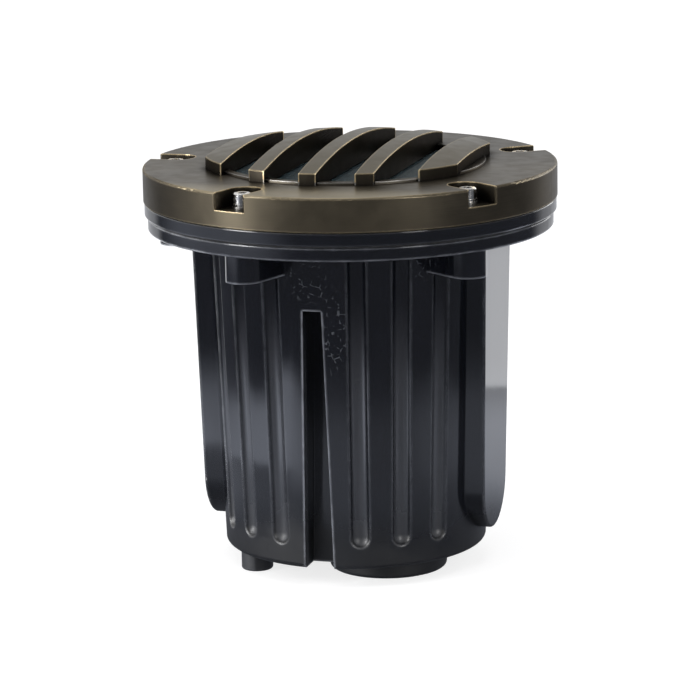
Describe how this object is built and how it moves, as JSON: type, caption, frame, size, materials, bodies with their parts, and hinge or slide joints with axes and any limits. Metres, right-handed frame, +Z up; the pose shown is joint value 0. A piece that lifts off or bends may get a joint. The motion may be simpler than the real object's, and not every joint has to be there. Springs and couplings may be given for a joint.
{
  "type": "in ground well light",
  "caption": "Round in-ground well light with an arched louvre grille over flat glass, a fluted black housing below, and a lamp inside that swivels and tilts.",
  "frame": {"origin": "on the light's vertical axis, at the plane that its feet stand on", "axes": "+Z up through the grille, +X through one flat side pad, the front channel faces -Y"},
  "size_m": [0.2032, 0.2032, 0.2111],
  "materials": {
    "cast_bronze": "antique dark bronze on cast brass, worn to bare brass at the edges",
    "black_moulding": "glossy black moulded plastic",
    "clear_lens": "flat tempered glass, slightly blue grey",
    "seal_rubber": "matte black silicone",
    "stainless": "bright stainless steel",
    "insert_brass": "bare turned brass",
    "zinc_steel": "zinc plated steel strip",
    "nylon": "natural nylon",
    "gland_plastic": "matte dark grey nylon",
    "block_ivory": "matte ivory moulded block",
    "lamp_silver": "aluminised glass bowl",
    "lamp_glass": "pressed clear glass with fine flutes",
    "burner_glass": "frosted halogen capsule"
  },
  "bodies": {
    "base": {"housing": "black_moulding", "threaded_inserts": "insert_brass", "housing_gasket": "seal_rubber", "mounting_ring": "black_moulding", "ring_screws": "stainless", "cover_gasket": "seal_rubber", "support_bracket": "zinc_steel", "bracket_screws": "stainless", "swivel_bolt": "stainless", "thrust_washer": "nylon", "spring_washer": "stainless", "swivel_nut": "stainless", "terminal_block": "block_ivory", "terminal_sleeves": "insert_brass", "terminal_screws": "stainless", "terminal_fixing_screw": "stainless", "gland_washer": "seal_rubber", "gland_body": "gland_plastic", "gland_seal": "seal_rubber", "gland_nut": "gland_plastic"},
    "lid": {"cover": "cast_bronze", "lens_gasket": "seal_rubber", "lens": "clear_lens", "lens_clamp_ring": "stainless", "clamp_screws": "stainless", "cover_screws": "stainless", "flat_washers": "stainless", "lock_washers": "stainless"},
    "swivel": {"yoke": "zinc_steel"},
    "lamp_head": {"lamp_ring": "zinc_steel", "lamp_cushion": "seal_rubber", "lamp_reflector": "lamp_silver", "lamp_lens": "lamp_glass", "lamp_burner": "burner_glass", "lamp_lugs": "insert_brass", "lug_screws": "insert_brass", "snap_ring": "stainless", "tilt_washers": "stainless", "tilt_nuts": "stainless"}
  },
  "joints": [
    {"name": "lid_lift", "type": "slide", "parent": "base", "child": "lid", "axis": [0, 0, 1], "range_m": [0, 0.1]},
    {"name": "swivel_turn", "type": "hinge", "parent": "base", "child": "swivel", "pos_m": [0, 0, 0.08], "axis": [0, 0, 1], "range_deg": [-170, 170]},
    {"name": "lamp_tilt", "type": "hinge", "parent": "swivel", "child": "lamp_head", "pos_m": [0, 0, 0.162], "axis": [1, 0, 0], "range_deg": [-15, 15]}
  ]
}
